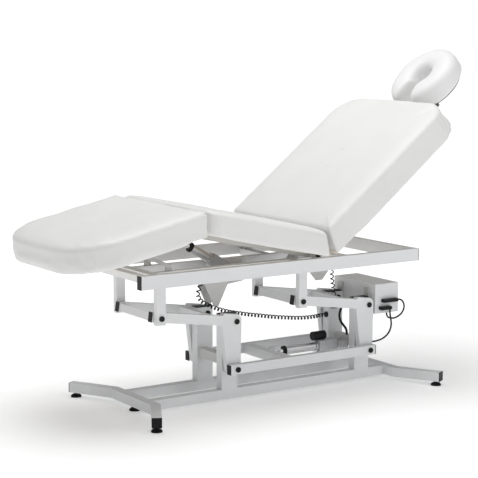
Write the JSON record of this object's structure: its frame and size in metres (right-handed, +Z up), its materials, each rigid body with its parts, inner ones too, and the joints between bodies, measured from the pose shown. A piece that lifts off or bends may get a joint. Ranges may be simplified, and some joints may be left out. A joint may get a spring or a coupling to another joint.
{
  "type": "facial treatment bed",
  "caption": "Powered facial treatment bed: floor frame with a parallel-crank lift, tilting seat with linked leg rest, reclining backrest and a sliding, tilting face cradle.",
  "frame": {"origin": "on the floor under the middle of the bed, with the levelling feet screwed fully in", "axes": "+X from the foot end to the head end, +Y to the far side, +Z up"},
  "size_m": [1.9867, 0.696, 1.3736],
  "materials": {
    "frame_paint": "satin light grey powder coat",
    "bracket_paint": "satin light grey paint",
    "dark_steel": "satin dark grey paint",
    "black_steel": "blackened, satin",
    "black_plastic": "moulded, fine grain",
    "zinc_steel": "zinc plated",
    "foot_rubber": "matte black",
    "birch_board": "plywood, plain",
    "vinyl": "upholstery vinyl, fine grain, soft sheen",
    "cradle_vinyl": "upholstery vinyl, fine grain",
    "actuator_plastic": "moulded light grey",
    "actuator_tube": "satin anodised",
    "bright_rod": "ground",
    "box_paint": "satin light grey powder coat",
    "circuit_board": "solder-mask green",
    "black_cord": "satin black jacket"
  },
  "bodies": {
    "base": {"front_foot": "frame_paint", "rear_foot": "frame_paint", "base_rails": "frame_paint", "posts": "frame_paint", "base_brackets": "bracket_paint", "base_caps_and_glands": "black_plastic", "main_bolts_and_foot_nuts": "black_steel", "control_box": "box_paint", "control_box_lid": "box_paint", "control_board": "circuit_board", "box_plugs_and_inlet": "black_plastic", "sleeve_lead": "black_cord", "box_lead": "black_cord", "motor_lead": "black_cord"},
    "rear_crank": {"rear_crank": "frame_paint", "rear_crank_caps": "black_plastic"},
    "front_crank": {"front_crank": "frame_paint", "front_crank_caps": "black_plastic"},
    "link_frame": {"links": "frame_paint", "link_cross_tube": "frame_paint", "link_caps": "black_plastic", "link_pivot_bolts": "black_steel"},
    "upper_frame": {"side_rails_beams_and_hangers": "frame_paint", "cross_tubes": "frame_paint", "frame_caps_and_glands": "black_plastic", "frame_brackets": "bracket_paint", "hanger_bolts_and_hip_axle": "black_steel", "leg_curly_cord": "black_cord", "back_curly_cord": "black_cord"},
    "lift_actuator": {"lift_actuator_housing": "actuator_plastic", "lift_actuator_tube": "actuator_tube", "lift_motor_and_collar": "black_plastic"},
    "lift_rod": {"lift_actuator_rod": "bright_rod"},
    "seat": {"seat_board": "birch_board", "seat_cushion": "vinyl", "seat_frame": "bracket_paint", "knee_pins": "zinc_steel"},
    "leg_rest": {"leg_board": "birch_board", "leg_cushion": "vinyl", "leg_frame": "bracket_paint"},
    "leg_stay": {"leg_stay": "bracket_paint"},
    "leg_actuator": {"leg_actuator_housing": "actuator_plastic", "leg_actuator_tube": "actuator_tube", "leg_actuator_collar": "black_plastic"},
    "leg_rod": {"leg_actuator_rod": "bright_rod"},
    "backrest": {"back_board": "birch_board", "back_cushion": "vinyl", "back_frame_and_sockets": "bracket_paint"},
    "back_actuator": {"back_actuator_housing": "actuator_plastic", "back_actuator_tube": "actuator_tube"},
    "back_rod": {"back_actuator_rod": "bright_rod"},
    "cradle_slider": {"cradle_rods": "zinc_steel"},
    "cradle": {"cradle_plate": "dark_steel", "cradle_cushion": "cradle_vinyl"},
    "levelling_foot_front_far": {"levelling_foot_front_far": "foot_rubber"},
    "levelling_foot_front_middle": {"levelling_foot_front_middle": "foot_rubber"},
    "levelling_foot_front_near": {"levelling_foot_front_near": "foot_rubber"},
    "levelling_foot_rear_far": {"levelling_foot_rear_far": "foot_rubber"},
    "levelling_foot_rear_middle": {"levelling_foot_rear_middle": "foot_rubber"},
    "levelling_foot_rear_near": {"levelling_foot_rear_near": "foot_rubber"}
  },
  "joints": [
    {"name": "lift", "type": "hinge", "parent": "base", "child": "rear_crank", "pos_m": [0.44865, 0, 0.328], "axis": [0, 1, 0], "range_deg": [-6, 45]},
    {"name": "front_crank_pivot", "type": "hinge", "parent": "base", "child": "front_crank", "pos_m": [-0.19735, 0, 0.328], "axis": [0, 1, 0], "range_deg": [-6.5, 45.5]},
    {"name": "upper_frame_pivot", "type": "hinge", "parent": "rear_crank", "child": "upper_frame", "pos_m": [0.09765, 0, 0.38], "axis": [0, 1, 0], "range_deg": [-45.5, 6.5], "deforming": ["leg_curly_cord", "back_curly_cord"]},
    {"name": "link_frame_pivot", "type": "hinge", "parent": "rear_crank", "child": "link_frame", "pos_m": [0.43665, 0, 0.145], "axis": [0, 1, 0], "range_deg": [-45.5, 6.5]},
    {"name": "lift_actuator_pivot", "type": "hinge", "parent": "base", "child": "lift_actuator", "pos_m": [0.38865, 0, 0.15], "axis": [0, 1, 0], "range_deg": [-1.5, 8]},
    {"name": "lift_rod_slide", "type": "slide", "parent": "lift_actuator", "child": "lift_rod", "axis": [-1, 0, 0], "range_m": [-0.02, 0.136]},
    {"name": "seat_tilt", "type": "hinge", "parent": "upper_frame", "child": "seat", "pos_m": [0.11665, 0, 0.574], "axis": [0, 1, 0], "range_deg": [-12.6, 0]},
    {"name": "knee", "type": "hinge", "parent": "seat", "child": "leg_rest", "pos_m": [-0.44577, 0, 0.6823], "axis": [0, 1, 0], "range_deg": [-0.5, 24.8]},
    {"name": "leg_stay_pivot", "type": "hinge", "parent": "upper_frame", "child": "leg_stay", "pos_m": [-0.46535, 0, 0.56], "axis": [0, 1, 0], "range_deg": [-28.9, 0.5]},
    {"name": "leg_actuator_pivot", "type": "hinge", "parent": "upper_frame", "child": "leg_actuator", "pos_m": [-0.09435, 0, 0.481], "axis": [0, 1, 0], "range_deg": [-19.2, 0.5]},
    {"name": "leg_rod_slide", "type": "slide", "parent": "leg_actuator", "child": "leg_rod", "axis": [-0.8578, 0, 0.5139], "range_m": [-0.038, 0.001]},
    {"name": "backrest_recline", "type": "hinge", "parent": "upper_frame", "child": "backrest", "pos_m": [0.11665, 0, 0.574], "axis": [0, 1, 0], "range_deg": [-26.9, 38.1]},
    {"name": "back_actuator_pivot", "type": "hinge", "parent": "upper_frame", "child": "back_actuator", "pos_m": [-0.21735, 0, 0.478], "axis": [0, 1, 0], "range_deg": [-1, 0.8]},
    {"name": "back_rod_slide", "type": "slide", "parent": "back_actuator", "child": "back_rod", "axis": [0.9944, 0, 0.1061], "range_m": [-0.04, 0.029]},
    {"name": "cradle_slide", "type": "slide", "parent": "backrest", "child": "cradle_slider", "axis": [0.7869, 0, 0.617], "range_m": [0, 0.08]},
    {"name": "cradle_tilt", "type": "hinge", "parent": "cradle_slider", "child": "cradle", "pos_m": [0.78165, 0, 1.08399], "axis": [0, 1, 0], "range_deg": [0, 35]},
    {"name": "screw_levelling_foot_front_far", "type": "slide", "parent": "base", "child": "levelling_foot_front_far", "axis": [0, 0, -1], "range_m": [0, 0.012]},
    {"name": "screw_levelling_foot_front_middle", "type": "slide", "parent": "base", "child": "levelling_foot_front_middle", "axis": [0, 0, -1], "range_m": [0, 0.012]},
    {"name": "screw_levelling_foot_front_near", "type": "slide", "parent": "base", "child": "levelling_foot_front_near", "axis": [0, 0, -1], "range_m": [0, 0.012]},
    {"name": "screw_levelling_foot_rear_far", "type": "slide", "parent": "base", "child": "levelling_foot_rear_far", "axis": [0, 0, -1], "range_m": [0, 0.012]},
    {"name": "screw_levelling_foot_rear_middle", "type": "slide", "parent": "base", "child": "levelling_foot_rear_middle", "axis": [0, 0, -1], "range_m": [0, 0.012]},
    {"name": "screw_levelling_foot_rear_near", "type": "slide", "parent": "base", "child": "levelling_foot_rear_near", "axis": [0, 0, -1], "range_m": [0, 0.012]}
  ],
  "couplings": [
    {"joint": "front_crank_pivot", "follows": "lift", "ratio": 1},
    {"joint": "upper_frame_pivot", "follows": "lift", "ratio": -1},
    {"joint": "link_frame_pivot", "follows": "lift", "ratio": -1},
    {"joint": "lift_actuator_pivot", "follows": "lift", "ratio": 0.1642},
    {"joint": "lift_rod_slide", "follows": "lift", "m_per_rad": 0.1704},
    {"joint": "knee", "follows": "seat_tilt", "ratio": -1.9286},
    {"joint": "leg_stay_pivot", "follows": "seat_tilt", "ratio": 2.255},
    {"joint": "leg_actuator_pivot", "follows": "seat_tilt", "ratio": 1.4825},
    {"joint": "leg_rod_slide", "follows": "seat_tilt", "m_per_rad": 0.1645},
    {"joint": "back_actuator_pivot", "follows": "backrest_recline", "ratio": -0.0188},
    {"joint": "back_rod_slide", "follows": "backrest_recline", "m_per_rad": -0.0574}
  ]
}
